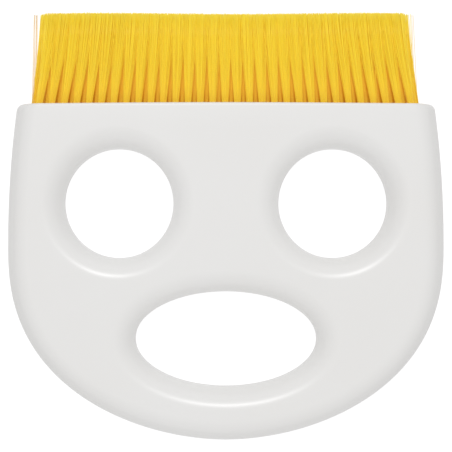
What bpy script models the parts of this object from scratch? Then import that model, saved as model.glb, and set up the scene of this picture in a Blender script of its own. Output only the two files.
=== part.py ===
# Hand broom: a white hollow handle in two shells, with a brush of yellow tufts.
# The broom lies on its back. +X runs across the handle, +Y points to the bristle tips,
# +Z points out of the front face, and z = 0 is the flat of the back. Sizes are in metres.
import math

import bmesh
import bpy
from mathutils import Matrix

# Handle, seen from the front
HANDLE_WIDTH = 0.2000
HANDLE_LENGTH = 0.1537
HANDLE_THICKNESS = 0.0250
WIDEST_BELOW_TOP = 0.0625
SIDE_ARC_RADIUS = 0.4570
SIDE_STRAIGHT = 0.0030
CHIN_DROP_POWER = 2.4
CHIN_WIDTH_POWER = 1.9
RIM_RADIUS = 0.0100
RIM_LAND = 0.0010
TOP_EDGE_RADIUS = 0.0016

# Two round eyes and an oval mouth, all cut right through
EYE_RADIUS = 0.0251
EYE_DISTANCE = 0.0985
EYE_BELOW_TOP = 0.0453
MOUTH_WIDTH = 0.0835
MOUTH_HEIGHT = 0.0438
CHIN_BAR = 0.0242

# Shells, parted at mid thickness
SHELL_WALL = 0.0024
SEAM_GAP = 0.0003
FIT_GAP = 0.0003

# Pins of the rear shell in sockets of the front shell
PIN_RADIUS = 0.0015
PIN_LENGTH = 0.0040
SOCKET_WALL = 0.0016

# Tuft block, held by its flange between the top wall and a shelf in each shell
SLOT_LIP = 0.0036
SLOT_END_WALL = 0.0050
NECK_HEIGHT = 0.0016
FLANGE_THICKNESS = 0.0040
SHELF_THICKNESS = 0.0020

# Tufts, in evenly spaced columns and in rows that are staggered by half a pitch
BRISTLE_LENGTH = 0.0419
COLUMN_COUNT = 32
ROW_COUNT = 3
ROW_MARGIN = 0.0004
FACE_RECESS = 0.0004
SLICE_THICKNESS = 0.0020
TUFT_RADIUS = 0.00095
TUFT_FLARE = 1.90
TIP_SPAN_SHARE = 0.940
STRANDS_PER_TUFT = 5
STRAND_SIDES = 3
STRAND_ROOT_RADIUS = 0.00050
STRAND_TIP_RADIUS = 0.00078
STRAND_ROOT_DEPTH = 0.0010

# Fineness of the facets, and how far a cutter runs past what it cuts
SIDE_STEPS = 5
CHIN_STEPS = 24
EYE_STEPS = 24
MOUTH_STEPS = 28
OUTER_ARC_STEPS = 4
INNER_ARC_STEPS = 3
TOP_EDGE_STEPS = 2
PIN_SIDES = 12
SQUARE_EDGE_ANGLE = math.radians(60)
SMOOTH_ANGLE = math.radians(40)
WELD_DISTANCE = 0.000001
CUT_MARGIN = 0.0120

# Places that several pieces share
half_width = HANDLE_WIDTH / 2
middle_z = HANDLE_THICKNESS / 2
tip_y = (HANDLE_LENGTH + BRISTLE_LENGTH) / 2
bottom_y = -tip_y
top_y = tip_y - BRISTLE_LENGTH
widest_y = top_y - WIDEST_BELOW_TOP
chin_y = widest_y - SIDE_STRAIGHT
eye_x = EYE_DISTANCE / 2
eye_y = top_y - EYE_BELOW_TOP
mouth_y = bottom_y + CHIN_BAR + MOUTH_HEIGHT / 2
past_top_y = top_y + 3 * CUT_MARGIN
past_front_z = HANDLE_THICKNESS + CUT_MARGIN


# Half the handle's width at a height: a long arc above, a full rounded chin below.
def half_width_at(y):
    if y >= widest_y:
        rise = y - widest_y
        return half_width - SIDE_ARC_RADIUS + math.sqrt(SIDE_ARC_RADIUS ** 2 - rise ** 2)
    if y >= chin_y:
        return half_width
    drop = (y - chin_y) / (bottom_y - chin_y)
    return half_width * (1.0 - drop ** CHIN_DROP_POWER) ** (1 / CHIN_WIDTH_POWER)


# A point of the chin, from its right end at turn 0 to its left end at turn 1.
def chin_point(turn):
    across = math.cos(math.pi * turn)
    down = math.sin(math.pi * turn)
    x = half_width * math.copysign(abs(across) ** (2 / CHIN_WIDTH_POWER), across)
    return x, chin_y + (bottom_y - chin_y) * down ** (2 / CHIN_DROP_POWER)


def ellipse_points(centre_x, centre_y, radius_x, radius_y, steps):
    angles = [2 * math.pi * step / steps for step in range(steps)]
    return [(centre_x + radius_x * math.cos(a), centre_y + radius_y * math.sin(a)) for a in angles]


def mouth_points():
    return ellipse_points(0.0, mouth_y, MOUTH_WIDTH / 2, MOUTH_HEIGHT / 2, MOUTH_STEPS)


# The narrowest bar between two openings or from an opening to the rim.
def narrowest_bar():
    side_bar = half_width_at(eye_y) - eye_x - EYE_RADIUS
    nose_bar = 2 * (eye_x - EYE_RADIUS)
    cheek_bar = min(math.hypot(x - eye_x, y - eye_y) for x, y in mouth_points()) - EYE_RADIUS
    return min(side_bar, nose_bar, CHIN_BAR, cheek_bar)


rim_radius = min(RIM_RADIUS, middle_z - RIM_LAND, narrowest_bar() / 2 - RIM_LAND)

# Slot, tuft block and tuft field in the top edge
slice_top_y = top_y - FACE_RECESS
slice_bottom_y = slice_top_y - SLICE_THICKNESS
neck_top_y = slice_bottom_y - FIT_GAP
flange_top_y = neck_top_y - NECK_HEIGHT
flange_bottom_y = flange_top_y - FLANGE_THICKNESS
flange_middle_y = (flange_top_y + flange_bottom_y) / 2
channel_top_y = flange_top_y + FIT_GAP
channel_bottom_y = flange_bottom_y - FIT_GAP
slot_half_length = half_width_at(top_y) - SLOT_END_WALL
slot_half_depth = middle_z - SLOT_LIP
field_half_length = slot_half_length - FIT_GAP
field_half_depth = slot_half_depth - FIT_GAP
column_pitch = 2 * field_half_length / COLUMN_COUNT
row_pitch = 2 * (slot_half_depth - ROW_MARGIN) / ROW_COUNT


def make_material(name, colour, roughness):
    material = bpy.data.materials.new(name)
    material.use_nodes = True
    shader = material.node_tree.nodes["Principled BSDF"]
    shader.inputs["Base Color"].default_value = (*colour, 1.0)
    shader.inputs["Roughness"].default_value = roughness
    shader.inputs["Metallic"].default_value = 0.0
    material.diffuse_color = (*colour, 1.0)
    return material


def make_collection(name):
    collection = bpy.data.collections.new(name)
    bpy.context.scene.collection.children.link(collection)
    return collection


def add_part(name, mesh):
    item = bpy.data.objects.new(name, mesh)
    broom.objects.link(item)
    return item


def add_cutter(name, mesh):
    item = bpy.data.objects.new(name, mesh)
    cutters.objects.link(item)
    item.display_type = "WIRE"
    item.hide_render = True
    return item


def combine(item, operation, other):
    step = item.modifiers.new(operation.title() + " " + other.name, "BOOLEAN")
    step.operation = operation
    step.solver = "EXACT"
    step.object = other


# Give a part its material, and smooth shading between sharp creases.
def finish_part(item, material):
    item.data.materials.clear()
    item.data.materials.append(material)
    item.data.shade_smooth()
    item.data.set_sharp_from_angle(angle=SMOOTH_ANGLE)


def mesh_from_shape(name, shape):
    mesh = bpy.data.meshes.new(name)
    shape.to_mesh(mesh)
    shape.free()
    return mesh


# A box from its low corner to its high corner.
def box_mesh(name, low, high):
    shape = bmesh.new()
    size = [b - a for a, b in zip(low, high)]
    centre = [(a + b) / 2 for a, b in zip(low, high)]
    place = Matrix.Translation(centre) @ Matrix.Diagonal((*size, 1.0))
    bmesh.ops.create_cube(shape, size=1.0, matrix=place)
    return mesh_from_shape(name, shape)


# A block wider than the handle, between two heights.
def slab_mesh(name, low_y, high_y, low_z=-CUT_MARGIN, high_z=past_front_z):
    reach = half_width + CUT_MARGIN
    return box_mesh(name, (-reach, low_y, low_z), (reach, high_y, high_z))


# One round post along Z at each (x, y) in places.
def post_mesh(name, places, radius, low_z, high_z):
    shape = bmesh.new()
    for x, y in places:
        centre = Matrix.Translation((x, y, (low_z + high_z) / 2))
        bmesh.ops.create_cone(
            shape, cap_ends=True, segments=PIN_SIDES, radius1=radius, radius2=radius,
            depth=high_z - low_z, matrix=centre)
    return mesh_from_shape(name, shape)


def closed_outline(curve, points):
    spline = curve.splines.new("POLY")
    spline.points.add(len(points) - 1)
    spline.use_cyclic_u = True
    for point, (x, y) in zip(spline.points, points):
        point.co = (x, y, 0.0, 1.0)


def flat_curve(name, half_thickness):
    curve = bpy.data.curves.new(name, "CURVE")
    curve.dimensions = "2D"
    curve.fill_mode = "BOTH"
    curve.extrude = half_thickness
    return curve


# The closed mesh of a flat curve, with its caps welded, put in place by a matrix.
def mesh_from_curve(curve, place):
    guide = bpy.data.objects.new(curve.name, curve)
    bpy.context.scene.collection.objects.link(guide)
    depsgraph = bpy.context.evaluated_depsgraph_get()
    mesh = bpy.data.meshes.new_from_object(guide.evaluated_get(depsgraph))
    mesh.transform(place)
    shape = bmesh.new()
    shape.from_mesh(mesh)
    bmesh.ops.remove_doubles(shape, verts=shape.verts, dist=WELD_DISTANCE)
    bmesh.ops.recalc_face_normals(shape, faces=shape.faces)
    shape.to_mesh(mesh)
    shape.free()
    bpy.data.objects.remove(guide)
    return mesh


# The handle's outline, run past the top edge so that the cut there is square.
def handle_points():
    high_y = top_y + CUT_MARGIN + rim_radius
    side = []
    for step in range(SIDE_STEPS + 1):
        y = high_y + (widest_y - high_y) * step / SIDE_STEPS
        side.append((half_width_at(y), y))
    chin = [chin_point(step / CHIN_STEPS) for step in range(CHIN_STEPS + 1)]
    left_side = [(-x, y) for x, y in reversed(side)]
    return side + chin + left_side


# The handle as a plate with round edges, with every surface moved in by inset.
def rounded_plate(name, inset, arc_steps):
    curve = flat_curve(name, middle_z - rim_radius)
    curve.bevel_depth = rim_radius - inset
    curve.bevel_resolution = arc_steps - 1
    curve.offset = -rim_radius
    closed_outline(curve, handle_points())
    for x in (-eye_x, eye_x):
        closed_outline(curve, ellipse_points(x, eye_y, EYE_RADIUS, EYE_RADIUS, EYE_STEPS))
    closed_outline(curve, mouth_points())
    return mesh_from_curve(curve, Matrix.Translation((0.0, 0.0, middle_z)))


# The hollow of both shells: the flange's channel, then the shelf, then the main hollow.
def make_hollow():
    hollow = add_cutter("hollow", rounded_plate("hollow", SHELL_WALL, INNER_ARC_STEPS))
    top_wall = add_cutter("top_wall", slab_mesh("top_wall", channel_top_y, past_top_y))
    combine(hollow, "DIFFERENCE", top_wall)
    shelf = slab_mesh("shelf", channel_bottom_y - SHELF_THICKNESS, channel_bottom_y)
    combine(hollow, "DIFFERENCE", add_cutter("shelf", shelf))
    return hollow


# The slot in the top edge that the neck of the tuft block stands in.
def make_slot():
    low = (-slot_half_length, flange_middle_y, middle_z - slot_half_depth)
    high = (slot_half_length, top_y + CUT_MARGIN, middle_z + slot_half_depth)
    return add_cutter("slot", box_mesh("slot", low, high))


# Nose, chin and both cheeks, each midway between two openings or an opening and the rim.
def pin_places():
    chin_bar_y = bottom_y + CHIN_BAR / 2
    cheek_x = (MOUTH_WIDTH / 2 + half_width_at(mouth_y)) / 2
    return [(0.0, eye_y), (0.0, chin_bar_y), (cheek_x, mouth_y), (-cheek_x, mouth_y)]


# One half of the hollow handle, cut level at the top and open at the slot.
def make_shell(name, hollow, slot, removed_low_z, removed_high_z):
    shell = add_part(name, rounded_plate(name, 0.0, OUTER_ARC_STEPS))
    top_cut = add_cutter(name + "_top_cut", slab_mesh("top_cut", top_y, past_top_y))
    combine(shell, "DIFFERENCE", top_cut)
    rounding = shell.modifiers.new("Top edge", "BEVEL")
    rounding.limit_method = "ANGLE"
    rounding.angle_limit = SQUARE_EDGE_ANGLE
    rounding.width = TOP_EDGE_RADIUS
    rounding.segments = TOP_EDGE_STEPS
    combine(shell, "DIFFERENCE", hollow)
    combine(shell, "DIFFERENCE", slot)
    other_half = slab_mesh(
        "other_half", bottom_y - CUT_MARGIN, past_top_y, removed_low_z, removed_high_z)
    combine(shell, "DIFFERENCE", add_cutter(name + "_other_half", other_half))
    return shell


def make_front_shell(hollow, slot):
    seam_z = middle_z + SEAM_GAP / 2
    shell = make_shell("front_shell", hollow, slot, -CUT_MARGIN, seam_z)
    bore_radius = PIN_RADIUS + FIT_GAP
    in_wall_z = HANDLE_THICKNESS - SHELL_WALL / 2
    sockets = post_mesh("sockets", pin_places(), bore_radius + SOCKET_WALL, seam_z, in_wall_z)
    combine(shell, "UNION", add_cutter("sockets", sockets))
    bore_end_z = seam_z + PIN_LENGTH + FIT_GAP
    bores = post_mesh("bores", pin_places(), bore_radius, seam_z - SEAM_GAP, bore_end_z)
    combine(shell, "DIFFERENCE", add_cutter("socket_bores", bores))
    finish_part(shell, gloss_white)


def make_rear_shell(hollow, slot):
    seam_z = middle_z - SEAM_GAP / 2
    shell = make_shell("rear_shell", hollow, slot, seam_z, past_front_z)
    boss_radius = PIN_RADIUS + FIT_GAP + SOCKET_WALL
    bosses = post_mesh("bosses", pin_places(), boss_radius, SHELL_WALL / 2, seam_z)
    combine(shell, "UNION", add_cutter("pin_bosses", bosses))
    pins = post_mesh("pins", pin_places(), PIN_RADIUS, seam_z - PIN_LENGTH, seam_z + PIN_LENGTH)
    combine(shell, "UNION", add_cutter("pins", pins))
    finish_part(shell, gloss_white)


# A flange that fills the channel, with a neck that stands in the slot.
def make_tuft_block():
    inset = SHELL_WALL + FIT_GAP
    block = add_part("tuft_block", rounded_plate("tuft_block", inset, INNER_ARC_STEPS))
    flange = slab_mesh("flange", flange_bottom_y, flange_top_y)
    combine(block, "INTERSECT", add_cutter("flange", flange))
    low = (-field_half_length, flange_middle_y, middle_z - field_half_depth)
    high = (field_half_length, neck_top_y, middle_z + field_half_depth)
    combine(block, "UNION", add_cutter("neck", box_mesh("neck", low, high)))
    finish_part(block, block_white)


# Rows are counted from the front. The first and every second row after it are shifted by
# half a pitch, and have one tuft fewer than the rows between them.
def row_shift(row):
    return ((row + 1) % 2) * column_pitch / 2


def row_z(row):
    return middle_z + ((ROW_COUNT - 1) / 2 - row) * row_pitch


# The edge between two columns of tufts as (x, z) from front to back: straight at the
# ends of the field, and a zigzag that follows the staggered rows elsewhere.
def column_edge(column, side):
    edge_x = -field_half_length + (column + (1 + side) / 2) * column_pitch
    front_z = middle_z + field_half_depth
    back_z = middle_z - field_half_depth
    at_field_end = (side < 0 and column == 0) or (side > 0 and column == COLUMN_COUNT - 1)
    if at_field_end:
        return [(edge_x, front_z), (edge_x, back_z)]
    slant = math.hypot(column_pitch / 2, row_pitch) / row_pitch
    half_gap = side * slant * FIT_GAP / 2
    zigzag = [(edge_x + row_shift(row) - half_gap, row_z(row)) for row in range(ROW_COUNT)]
    return [(zigzag[0][0], front_z)] + zigzag + [(zigzag[-1][0], back_z)]


# The slice of the block's face that one column of tufts stands in.
def slice_mesh(name, column):
    curve = flat_curve(name, SLICE_THICKNESS / 2)
    closed_outline(curve, column_edge(column, -1) + list(reversed(column_edge(column, 1))))
    middle_y = (slice_top_y + slice_bottom_y) / 2
    upright = Matrix.Rotation(math.pi / 2, 4, "X")
    return mesh_from_curve(curve, Matrix.Translation((0.0, middle_y, 0.0)) @ upright)


# A straight strand from inside the slice to the trimmed tip. Its tuft flares, and the
# whole brush draws in a little towards its middle, so it leans by both.
def add_strand(shape, tuft_x, tuft_z, off_x, off_z):
    root_y = slice_top_y - STRAND_ROOT_DEPTH
    length = tip_y - root_y
    root_x = tuft_x + off_x
    root_z = tuft_z + off_z
    tip_x = tuft_x * TIP_SPAN_SHARE + off_x * TUFT_FLARE
    tip_z = tuft_z + off_z * TUFT_FLARE
    lean = Matrix((
        (1.0, 0.0, (tip_x - root_x) / length, (root_x + tip_x) / 2),
        (0.0, 0.0, 1.0, (root_y + tip_y) / 2),
        (0.0, -1.0, (tip_z - root_z) / length, (root_z + tip_z) / 2),
        (0.0, 0.0, 0.0, 1.0)))
    bmesh.ops.create_cone(
        shape, cap_ends=True, segments=STRAND_SIDES, radius1=STRAND_ROOT_RADIUS,
        radius2=STRAND_TIP_RADIUS, depth=length, matrix=lean)


# All strands of one column: a ring of strands in each tuft, and one tuft in each row
# where the shifted row still has room for it.
def strands_mesh(name, column):
    shape = bmesh.new()
    for row in range(ROW_COUNT):
        tuft_x = -field_half_length + (column + 0.5) * column_pitch + row_shift(row)
        if tuft_x + column_pitch / 4 > field_half_length:
            continue
        for strand in range(STRANDS_PER_TUFT):
            angle = 2 * math.pi * strand / STRANDS_PER_TUFT
            off_x = TUFT_RADIUS * math.cos(angle)
            off_z = TUFT_RADIUS * math.sin(angle)
            add_strand(shape, tuft_x, row_z(row), off_x, off_z)
    return mesh_from_shape(name, shape)


def make_tuft_column(column):
    number = f"{column + 1:02d}"
    item = add_part("tuft_column_" + number, slice_mesh("slice_" + number, column))
    strands = strands_mesh("strands_" + number, column)
    combine(item, "UNION", add_cutter("strands_" + number, strands))
    finish_part(item, yellow_nylon)


for old in list(bpy.data.objects):
    bpy.data.objects.remove(old)

broom = make_collection("hand_broom")
cutters = make_collection("cutters")
gloss_white = make_material("gloss_white", (0.80, 0.79, 0.78), 0.12)
block_white = make_material("block_white", (0.74, 0.73, 0.70), 0.45)
yellow_nylon = make_material("yellow_nylon", (0.88, 0.50, 0.03), 0.42)

handle_hollow = make_hollow()
block_slot = make_slot()
make_front_shell(handle_hollow, block_slot)
make_rear_shell(handle_hollow, block_slot)
make_tuft_block()
for column_index in range(COLUMN_COUNT):
    make_tuft_column(column_index)
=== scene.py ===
# Hand broom: finish and fine shapes for the white handle, its tuft block and the yellow brush.
import math

import bmesh
import bpy
from mathutils import Matrix, Vector


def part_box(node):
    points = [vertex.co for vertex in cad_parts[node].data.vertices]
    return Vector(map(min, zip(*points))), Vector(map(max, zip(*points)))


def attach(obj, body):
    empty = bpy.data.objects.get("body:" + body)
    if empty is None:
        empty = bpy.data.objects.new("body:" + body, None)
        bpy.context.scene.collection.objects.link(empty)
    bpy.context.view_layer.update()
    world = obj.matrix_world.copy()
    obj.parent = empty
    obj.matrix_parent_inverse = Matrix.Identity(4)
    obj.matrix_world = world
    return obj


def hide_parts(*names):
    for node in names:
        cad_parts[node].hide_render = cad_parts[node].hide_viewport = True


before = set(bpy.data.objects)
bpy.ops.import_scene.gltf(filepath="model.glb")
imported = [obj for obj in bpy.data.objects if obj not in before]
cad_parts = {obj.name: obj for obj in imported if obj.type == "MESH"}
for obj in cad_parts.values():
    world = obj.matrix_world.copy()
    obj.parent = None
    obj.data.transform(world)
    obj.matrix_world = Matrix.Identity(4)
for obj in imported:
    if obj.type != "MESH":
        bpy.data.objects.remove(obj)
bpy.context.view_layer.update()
print("frame loaded:", len(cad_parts), "nodes")

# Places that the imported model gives
frontLow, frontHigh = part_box("front_shell")
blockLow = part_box("tuft_block")[0]
tuftNodes = sorted(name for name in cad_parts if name.startswith("tuft_column_"))
fieldLow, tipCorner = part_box(tuftNodes[0])
halfWidth = frontHigh.x
topY = frontHigh.y
bottomY = frontLow.y
tipY = tipCorner.y
thickness = frontHigh.z
middleZ = thickness / 2
seamGap = 2 * (frontLow.z - middleZ)
fieldHalfLength = -fieldLow.x
fieldHalfDepth = middleZ - fieldLow.z
columnPitch = 2 * fieldHalfLength / len(tuftNodes)

bpy.context.scene.view_settings.view_transform = "Standard"
bpy.context.scene.view_settings.look = "None"


# Shader trees, from small pieces
def feed(tree, socket, value):
    if isinstance(value, bpy.types.NodeSocket):
        tree.links.new(value, socket)
    elif value is not None:
        socket.default_value = value


def addNode(tree, kind, inputs=None, **settings):
    node = tree.nodes.new(kind)
    for name, value in settings.items():
        setattr(node, name, value)
    for name, value in (inputs or {}).items():
        feed(tree, node.inputs[name], value)
    return node


def calc(tree, operation, *values):
    node = addNode(tree, "ShaderNodeMath", operation=operation)
    for socket, value in zip(node.inputs, values):
        feed(tree, socket, value)
    return node.outputs[0]


def mixColours(tree, factor, first, second):
    node = addNode(tree, "ShaderNodeMix", data_type="RGBA")
    feed(tree, node.inputs["Factor"], factor)
    feed(tree, node.inputs[6], first)
    feed(tree, node.inputs[7], second)
    return node.outputs[2]


def newGroup(name, kind, inputs, outputs):
    tree = bpy.data.node_groups.new(name, kind)
    for title, socketType, value in inputs:
        socket = tree.interface.new_socket(title, in_out="INPUT", socket_type=socketType)
        if value is not None:
            socket.default_value = value
    for title, socketType in outputs:
        tree.interface.new_socket(title, in_out="OUTPUT", socket_type=socketType)
    return tree, tree.nodes.new("NodeGroupInput"), tree.nodes.new("NodeGroupOutput")


number, whole = "NodeSocketFloat", "NodeSocketInt"
shapeSocket, paint = "NodeSocketGeometry", "NodeSocketMaterial"


# The faint unevenness of a moulded skin: a slow sink and a fine ripple
def makeMouldedSkin():
    tree, inlet, outlet = newGroup(
        "mouldedSkin", "ShaderNodeTree",
        [("Sink Scale", number, 40.0), ("Ripple Scale", number, 900.0), ("Ripple", number, 0.2)],
        [("Height", number), ("Cloud", number)])
    place = addNode(tree, "ShaderNodeTexCoord").outputs["Object"]
    sink = addNode(tree, "ShaderNodeTexNoise", {
        "Vector": place, "Scale": inlet.outputs["Sink Scale"], "Detail": 2.0, "Roughness": 0.4})
    ripple = addNode(tree, "ShaderNodeTexNoise", {
        "Vector": place, "Scale": inlet.outputs["Ripple Scale"], "Detail": 1.0, "Roughness": 0.5})
    fine = calc(tree, "MULTIPLY", ripple.outputs["Fac"], inlet.outputs["Ripple"])
    feed(tree, outlet.inputs["Height"], calc(tree, "ADD", sink.outputs["Fac"], fine))
    feed(tree, outlet.inputs["Cloud"], sink.outputs["Fac"])
    return tree


marks = {
    "turns": (0.5, 2.2),
    "hairRange": (0.68, 0.74),
    "patchScale": 60.0,
    "patchRange": (0.45, 0.7),
}


# Hairline scratches in two directions, broken up so that none runs far
def makeHandlingMarks():
    tree, inlet, outlet = newGroup(
        "handlingMarks", "ShaderNodeTree",
        [("Length", number, 30.0), ("Fineness", number, 2600.0), ("Share", number, 0.5)],
        [("Mask", number)])
    place = addNode(tree, "ShaderNodeTexCoord").outputs["Object"]
    masks = []
    for turn in marks["turns"]:
        stretch = addNode(tree, "ShaderNodeCombineXYZ", {
            "X": inlet.outputs["Length"], "Y": inlet.outputs["Fineness"],
            "Z": inlet.outputs["Length"]})
        turned = addNode(tree, "ShaderNodeVectorRotate", {"Vector": place, "Angle": turn})
        drawn = addNode(tree, "ShaderNodeVectorMath", operation="MULTIPLY")
        feed(tree, drawn.inputs[0], turned.outputs["Vector"])
        feed(tree, drawn.inputs[1], stretch.outputs["Vector"])
        hair = addNode(tree, "ShaderNodeTexNoise", {
            "Vector": drawn.outputs["Vector"], "Scale": 1.0, "Detail": 1.0})
        sharp = addNode(tree, "ShaderNodeMapRange", {
            "Value": hair.outputs["Fac"], "From Min": marks["hairRange"][0],
            "From Max": marks["hairRange"][1]})
        masks.append(sharp.outputs["Result"])
    patches = addNode(tree, "ShaderNodeTexNoise", {
        "Vector": place, "Scale": marks["patchScale"], "Detail": 1.0})
    where = addNode(tree, "ShaderNodeMapRange", {
        "Value": patches.outputs["Fac"], "From Min": marks["patchRange"][0],
        "From Max": marks["patchRange"][1]})
    both = calc(tree, "MAXIMUM", *masks)
    kept = calc(tree, "MULTIPLY", both, where.outputs["Result"])
    feed(tree, outlet.inputs["Mask"], calc(tree, "MULTIPLY", kept, inlet.outputs["Share"]))
    return tree


mouldedSkin = makeMouldedSkin()
handlingMarks = makeHandlingMarks()

whitePlastic = {
    "base": (0.758, 0.755, 0.749, 1.0),
    "yellowed": (0.738, 0.728, 0.712, 1.0),
    "roughness": 0.287,
    "roughnessSpread": 0.03,
    "scratchRoughness": 0.10,
    "scratchLength": 30.0,
    "scratchFineness": 2600.0,
    "scratchShare": 0.5,
    "sinkDepth": 0.00006,
    "sinkScale": 22.0,
    "rippleScale": 700.0,
    "ripple": 0.010,
    "ior": 1.49,
}
blockPlastic = {
    "base": (0.74, 0.73, 0.70, 1.0),
    "yellowed": (0.70, 0.68, 0.63, 1.0),
    "roughness": 0.42,
    "roughnessSpread": 0.12,
    "scratchRoughness": 0.05,
    "scratchLength": 30.0,
    "scratchFineness": 2600.0,
    "scratchShare": 0.5,
    "sinkDepth": 0.00008,
    "sinkScale": 60.0,
    "rippleScale": 1500.0,
    "ripple": 0.06,
    "ior": 1.49,
}
nylon = {
    "shade": (0.868, 0.695, 0.022, 1.0),
    "light": (0.888, 0.735, 0.034, 1.0),
    # Painted shade: darker colours for the roots and for hidden filaments
    "rootShade": (0.78, 0.555, 0.018, 1.0),
    "rootReach": 0.75,
    "rootShadeShare": 0.55,
    "hiddenShade": (0.70, 0.35, 0.004, 1.0),
    "looseShade": (0.80, 0.70, 0.52, 1.0),
    "glow": 0.40,
    "glowRoot": (0.93, 0.57, 0.090, 1.0),
    "glowTip": (0.395, 0.27, 0.032, 1.0),
    "glowAmber": (0.57, 0.29, 0.052, 1.0),
    "glowDeep": (0.36, 0.150, 0.004, 1.0),
    "glowRootPower": 6.0,
    "glowUpward": 0.75,
    "amberFade": 0.5,
    "roughness": 0.36,
    "roughnessSpread": 0.12,
    "grooveScale": 5200.0,
    "grooveDepth": 0.000012,
}


def makePlastic(name, finish):
    material = bpy.data.materials.new(name)
    material.use_nodes = True
    tree = material.node_tree
    shader = tree.nodes["Principled BSDF"]
    skin = addNode(tree, "ShaderNodeGroup", {
        "Sink Scale": finish["sinkScale"], "Ripple Scale": finish["rippleScale"],
        "Ripple": finish["ripple"]}, node_tree=mouldedSkin)
    scratches = addNode(tree, "ShaderNodeGroup", {
        "Length": finish["scratchLength"], "Fineness": finish["scratchFineness"],
        "Share": finish["scratchShare"]}, node_tree=handlingMarks)
    cloud = skin.outputs["Cloud"]
    feed(tree, shader.inputs["Base Color"],
         mixColours(tree, cloud, finish["base"], finish["yellowed"]))
    spread = calc(tree, "MULTIPLY_ADD", cloud, finish["roughnessSpread"],
                  finish["roughness"] - finish["roughnessSpread"] / 2)
    worn = calc(tree, "MULTIPLY_ADD", scratches.outputs["Mask"], finish["scratchRoughness"], spread)
    feed(tree, shader.inputs["Roughness"], worn)
    bump = addNode(tree, "ShaderNodeBump", {
        "Height": skin.outputs["Height"], "Distance": finish["sinkDepth"], "Strength": 1.0})
    feed(tree, shader.inputs["Normal"], bump.outputs["Normal"])
    shader.inputs["IOR"].default_value = finish["ior"]
    material.diffuse_color = finish["base"]
    return material


def attribute(tree, name):
    return addNode(tree, "ShaderNodeAttribute", attribute_name=name).outputs["Fac"]


# Every filament has its own tone; painted shade darkens the colour towards the roots and where a
# filament is hidden behind others.
# The tufts also say how open to the light a filament is, how much amber glow (painted light) its
# root gets, and whether it has come loose.
def makeNylon(name):
    material = bpy.data.materials.new(name)
    material.use_nodes = True
    tree = material.node_tree
    shader = tree.nodes["Principled BSDF"]
    tone, along, opened, amberGlow, loose = (
        attribute(tree, title) for title in ("tone", "along", "open", "amberGlow", "loose"))
    low = calc(tree, "SUBTRACT", 1.0, along)
    # Painted shade: the base colour darkens towards the roots, where the filaments shade each other
    rootShadeMask = addNode(tree, "ShaderNodeMapRange", {
        "Value": along, "From Min": 0.0, "From Max": nylon["rootReach"],
        "To Min": nylon["rootShadeShare"], "To Max": 0.0}, interpolation_type="SMOOTHSTEP")
    # Painted shade: filaments hidden behind others take a darker brown, most near the roots
    hiddenShadeMask = calc(tree, "MULTIPLY", calc(tree, "SUBTRACT", 1.0, opened),
                  calc(tree, "MULTIPLY", low, low))
    dye = mixColours(tree, tone, nylon["shade"], nylon["light"])
    rootShaded = mixColours(tree, rootShadeMask.outputs["Result"], dye, nylon["rootShade"])
    hiddenShaded = mixColours(tree, hiddenShadeMask, rootShaded, nylon["hiddenShade"])
    worn = mixColours(tree, loose, hiddenShaded, nylon["looseShade"])
    feed(tree, shader.inputs["Base Color"], worn)
    spread = calc(tree, "MULTIPLY_ADD", tone, nylon["roughnessSpread"],
                  nylon["roughness"] - nylon["roughnessSpread"] / 2)
    feed(tree, shader.inputs["Roughness"], spread)
    place = addNode(tree, "ShaderNodeTexCoord").outputs["Object"]
    groove = addNode(tree, "ShaderNodeTexNoise", {
        "Vector": place, "Scale": nylon["grooveScale"], "Detail": 1.0})
    bump = addNode(tree, "ShaderNodeBump", {
        "Height": groove.outputs["Fac"], "Distance": nylon["grooveDepth"], "Strength": 1.0})
    feed(tree, shader.inputs["Normal"], bump.outputs["Normal"])

    # Painted light: a faint glow stands in for light that has come through the filaments, amber at
    # the roots of the inner row and dim where a filament is hidden
    atRoot = calc(tree, "POWER", low, nylon["glowRootPower"])
    inner = mixColours(tree, atRoot, nylon["glowTip"], nylon["glowRoot"])
    amberGlowShare = calc(tree, "MULTIPLY", amberGlow, calc(
        tree, "MULTIPLY_ADD", atRoot, -nylon["amberFade"], low))
    through = mixColours(tree, amberGlowShare, inner, nylon["glowAmber"])
    lit = calc(tree, "MULTIPLY_ADD", opened, low, calc(
        tree, "MULTIPLY", along, nylon["glowUpward"]))
    litShare = calc(tree, "MULTIPLY", lit, calc(tree, "SUBTRACT", 1.0, loose))
    veiled = mixColours(tree, litShare, nylon["glowDeep"], through)
    feed(tree, shader.inputs["Emission Color"], veiled)
    shader.inputs["Emission Strength"].default_value = nylon["glow"]
    material.diffuse_color = nylon["light"]
    return material


glossWhite = makePlastic("glossWhitePlastic", whitePlastic)
blockWhite = makePlastic("blockWhitePlastic", blockPlastic)
yellowNylon = makeNylon("yellowNylon")
print("materials made")


# Handle: a flat plate with deeply rounded edges, a level top and three openings
handle = {
    "widestBelowTop": 0.0625,
    "sideArc": 0.4570,
    "sideStraight": 0.0030,
    "chinDropPower": 2.4,
    "chinWidthPower": 1.9,
    "rimRadius": 0.0100,
    "cornerRadius": 0.0028,
    "topEdgeReach": 0.0011,
    "topEdgeDepth": 0.0011,
    "eyeRadius": 0.0251,
    "eyeSpacing": 0.0985,
    "eyeBelowTop": 0.0453,
    "mouthWidth": 0.0835,
    "mouthHeight": 0.0438,
    "chinBar": 0.0242,
    "seamSoftness": 0.00025,
    "capInset": 0.0005,
    "topInset": 0.0003,
    "wall": 0.0024,
    "fitGap": 0.0003,
    "shelf": 0.0020,
    "flange": 0.0040,
    "slotSoftness": 0.0003,
    "slotOverlap": 0.0015,
    "bowRise": 0.00058,
    "bowDepth": 0.0050,
    "bowReach": 0.1070,
    "bowSteps": 11,
    "pinSides": 32,
    "pinRadius": 0.0015,
    "pinLength": 0.0040,
    "socketWall": 0.0016,
    "runPast": 0.0120,
}
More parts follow.
